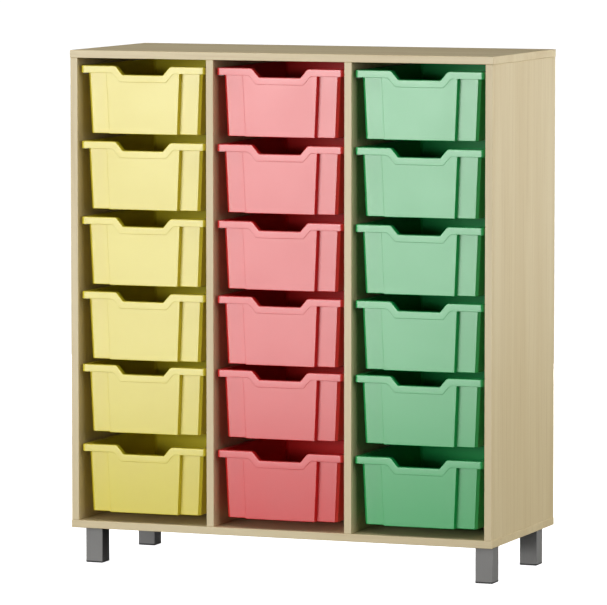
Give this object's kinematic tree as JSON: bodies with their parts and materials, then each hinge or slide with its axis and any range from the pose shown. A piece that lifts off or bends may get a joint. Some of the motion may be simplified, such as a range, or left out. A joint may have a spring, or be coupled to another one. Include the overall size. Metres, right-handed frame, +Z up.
{
  "type": "tray storage unit",
  "caption": "Free-standing boarded storage unit on square metal legs, with columns of moulded plastic trays that slide out on side runners.",
  "frame": {"origin": "on the floor, under the middle of the unit's plan rectangle", "axes": "+Z up, +X to the right when facing the open front, +Y towards the back panel, so the trays slide out along -Y"},
  "size_m": [1.04, 0.45, 1.206],
  "materials": {
    "maple_board": "light maple-grain melamine, satin, with matching edge band",
    "back_sheet": "thin board with the same light maple foil, satin",
    "tray_yellow": "injection-moulded polypropylene, fine satin texture",
    "tray_red": "injection-moulded polypropylene, fine satin texture",
    "tray_green": "injection-moulded polypropylene, fine satin texture",
    "runner_plastic": "extruded plastic, satin",
    "leg_steel": "grey powder coat, fine texture",
    "foot_plastic": "moulded plastic, matt",
    "fixings": "zinc plated"
  },
  "bodies": {
    "cabinet": {"top_panel": "maple_board", "base_panel": "maple_board", "left_side": "maple_board", "right_side": "maple_board", "left_divider": "maple_board", "right_divider": "maple_board", "back_panel": "back_sheet", "runners_yellow_1": "runner_plastic", "runners_yellow_2": "runner_plastic", "runners_yellow_3": "runner_plastic", "runners_yellow_4": "runner_plastic", "runners_yellow_5": "runner_plastic", "runners_yellow_6": "runner_plastic", "runners_red_1": "runner_plastic", "runners_red_2": "runner_plastic", "runners_red_3": "runner_plastic", "runners_red_4": "runner_plastic", "runners_red_5": "runner_plastic", "runners_red_6": "runner_plastic", "runners_green_1": "runner_plastic", "runners_green_2": "runner_plastic", "runners_green_3": "runner_plastic", "runners_green_4": "runner_plastic", "runners_green_5": "runner_plastic", "runners_green_6": "runner_plastic", "leg_front_left": "leg_steel", "foot_front_left": "foot_plastic", "leg_front_right": "leg_steel", "foot_front_right": "foot_plastic", "leg_back_left": "leg_steel", "foot_back_left": "foot_plastic", "leg_back_right": "leg_steel", "foot_back_right": "foot_plastic", "leg_inserts": "fixings"},
    "tray_yellow_1": {"tray_yellow_1": "tray_yellow"},
    "tray_yellow_2": {"tray_yellow_2": "tray_yellow"},
    "tray_yellow_3": {"tray_yellow_3": "tray_yellow"},
    "tray_yellow_4": {"tray_yellow_4": "tray_yellow"},
    "tray_yellow_5": {"tray_yellow_5": "tray_yellow"},
    "tray_yellow_6": {"tray_yellow_6": "tray_yellow"},
    "tray_red_1": {"tray_red_1": "tray_red"},
    "tray_red_2": {"tray_red_2": "tray_red"},
    "tray_red_3": {"tray_red_3": "tray_red"},
    "tray_red_4": {"tray_red_4": "tray_red"},
    "tray_red_5": {"tray_red_5": "tray_red"},
    "tray_red_6": {"tray_red_6": "tray_red"},
    "tray_green_1": {"tray_green_1": "tray_green"},
    "tray_green_2": {"tray_green_2": "tray_green"},
    "tray_green_3": {"tray_green_3": "tray_green"},
    "tray_green_4": {"tray_green_4": "tray_green"},
    "tray_green_5": {"tray_green_5": "tray_green"},
    "tray_green_6": {"tray_green_6": "tray_green"}
  },
  "joints": [
    {"name": "slide_yellow_1", "type": "slide", "parent": "cabinet", "child": "tray_yellow_1", "axis": [0, -1, 0], "range_m": [0, 0.3]},
    {"name": "slide_yellow_2", "type": "slide", "parent": "cabinet", "child": "tray_yellow_2", "axis": [0, -1, 0], "range_m": [0, 0.3]},
    {"name": "slide_yellow_3", "type": "slide", "parent": "cabinet", "child": "tray_yellow_3", "axis": [0, -1, 0], "range_m": [0, 0.3]},
    {"name": "slide_yellow_4", "type": "slide", "parent": "cabinet", "child": "tray_yellow_4", "axis": [0, -1, 0], "range_m": [0, 0.3]},
    {"name": "slide_yellow_5", "type": "slide", "parent": "cabinet", "child": "tray_yellow_5", "axis": [0, -1, 0], "range_m": [0, 0.3]},
    {"name": "slide_yellow_6", "type": "slide", "parent": "cabinet", "child": "tray_yellow_6", "axis": [0, -1, 0], "range_m": [0, 0.3]},
    {"name": "slide_red_1", "type": "slide", "parent": "cabinet", "child": "tray_red_1", "axis": [0, -1, 0], "range_m": [0, 0.3]},
    {"name": "slide_red_2", "type": "slide", "parent": "cabinet", "child": "tray_red_2", "axis": [0, -1, 0], "range_m": [0, 0.3]},
    {"name": "slide_red_3", "type": "slide", "parent": "cabinet", "child": "tray_red_3", "axis": [0, -1, 0], "range_m": [0, 0.3]},
    {"name": "slide_red_4", "type": "slide", "parent": "cabinet", "child": "tray_red_4", "axis": [0, -1, 0], "range_m": [0, 0.3]},
    {"name": "slide_red_5", "type": "slide", "parent": "cabinet", "child": "tray_red_5", "axis": [0, -1, 0], "range_m": [0, 0.3]},
    {"name": "slide_red_6", "type": "slide", "parent": "cabinet", "child": "tray_red_6", "axis": [0, -1, 0], "range_m": [0, 0.3]},
    {"name": "slide_green_1", "type": "slide", "parent": "cabinet", "child": "tray_green_1", "axis": [0, -1, 0], "range_m": [0, 0.3]},
    {"name": "slide_green_2", "type": "slide", "parent": "cabinet", "child": "tray_green_2", "axis": [0, -1, 0], "range_m": [0, 0.3]},
    {"name": "slide_green_3", "type": "slide", "parent": "cabinet", "child": "tray_green_3", "axis": [0, -1, 0], "range_m": [0, 0.3]},
    {"name": "slide_green_4", "type": "slide", "parent": "cabinet", "child": "tray_green_4", "axis": [0, -1, 0], "range_m": [0, 0.3]},
    {"name": "slide_green_5", "type": "slide", "parent": "cabinet", "child": "tray_green_5", "axis": [0, -1, 0], "range_m": [0, 0.3]},
    {"name": "slide_green_6", "type": "slide", "parent": "cabinet", "child": "tray_green_6", "axis": [0, -1, 0], "range_m": [0, 0.3]}
  ]
}
